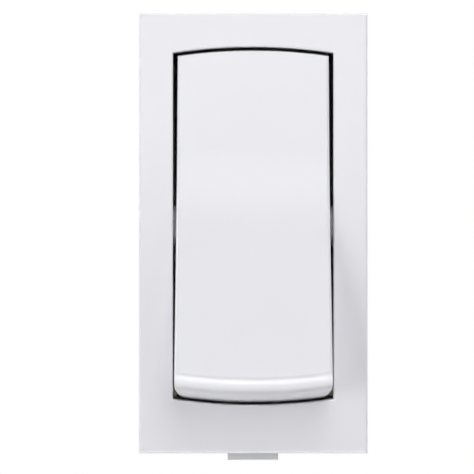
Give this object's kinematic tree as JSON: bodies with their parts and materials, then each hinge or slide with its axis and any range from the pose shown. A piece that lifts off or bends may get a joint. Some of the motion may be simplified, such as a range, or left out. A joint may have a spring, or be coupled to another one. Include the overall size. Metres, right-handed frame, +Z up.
{
  "type": "rocker wall switch",
  "caption": "White one-module rocker wall switch: flat front plate, tall V-shaped rocker with a thumb lip, deep housing with screw terminals.",
  "frame": {"origin": "middle of the plane in which the plate's rim seats on its grid frame, at the middle of the plate", "axes": "+X to the right as seen by the user, +Y into the wall, +Z up; the front faces -Y"},
  "size_m": [0.0234, 0.0323, 0.0462],
  "materials": {
    "white_plastic": "satin gloss, moulded",
    "housing_plastic": "fine moulded texture",
    "plunger_plastic": "natural nylon",
    "brass": "pressed and machined",
    "silver_contact": "silver alloy, dull",
    "plated_steel": "zinc plated",
    "spring_steel": "drawn wire"
  },
  "bodies": {
    "base": {"front_frame": "white_plastic", "base_housing": "housing_plastic", "common_terminal_plate": "brass", "fixed_contact_plate_top": "brass", "fixed_contact_plate_bottom": "brass", "fixed_contact_rivet_top": "silver_contact", "fixed_contact_rivet_bottom": "silver_contact", "terminal_clamp_top": "brass", "terminal_clamp_bottom": "brass", "terminal_clamp_common": "brass"},
    "rocker": {"rocker": "white_plastic", "plunger_spring": "spring_steel"},
    "plunger": {"plunger": "plunger_plastic"},
    "contact_lever": {"moving_contact": "brass", "moving_contact_rivet_top": "silver_contact", "moving_contact_rivet_bottom": "silver_contact"},
    "latch": {"mounting_latch": "white_plastic"},
    "screw_top": {"terminal_screw_top": "plated_steel"},
    "screw_bottom": {"terminal_screw_bottom": "plated_steel"},
    "screw_common": {"terminal_screw_common": "plated_steel"}
  },
  "joints": [
    {"name": "rocker_tilt", "type": "hinge", "parent": "base", "child": "rocker", "pos_m": [0, 0.0016, 0.00077], "axis": [1, 0, 0], "range_deg": [0, 13]},
    {"name": "plunger_slide", "type": "slide", "parent": "rocker", "child": "plunger", "axis": [0, -0.9936, 0.1132], "range_m": [0, 0.0008], "stiffness_N_per_m": 1500, "springref_m": -0.0015, "deforming": ["plunger_spring"]},
    {"name": "contact_rock", "type": "hinge", "parent": "base", "child": "contact_lever", "pos_m": [0, 0.012, 0.00077], "axis": [1, 0, 0], "range_deg": [-14, 0]},
    {"name": "latch_flex", "type": "hinge", "parent": "base", "child": "latch", "pos_m": [0, 0.0126, -0.0205], "axis": [-1, 0, 0], "range_deg": [0, 15], "stiffness_Nm_per_rad": 0.4},
    {"name": "screw_top_clamp", "type": "slide", "parent": "base", "child": "screw_top", "axis": [0, -1, 0], "range_m": [0, 0.0022]},
    {"name": "screw_bottom_clamp", "type": "slide", "parent": "base", "child": "screw_bottom", "axis": [0, -1, 0], "range_m": [0, 0.0022]},
    {"name": "screw_common_clamp", "type": "slide", "parent": "base", "child": "screw_common", "axis": [0, -1, 0], "range_m": [0, 0.0022]}
  ],
  "couplings": [
    {"joint": "contact_rock", "follows": "rocker_tilt", "ratio": -1.0769}
  ]
}
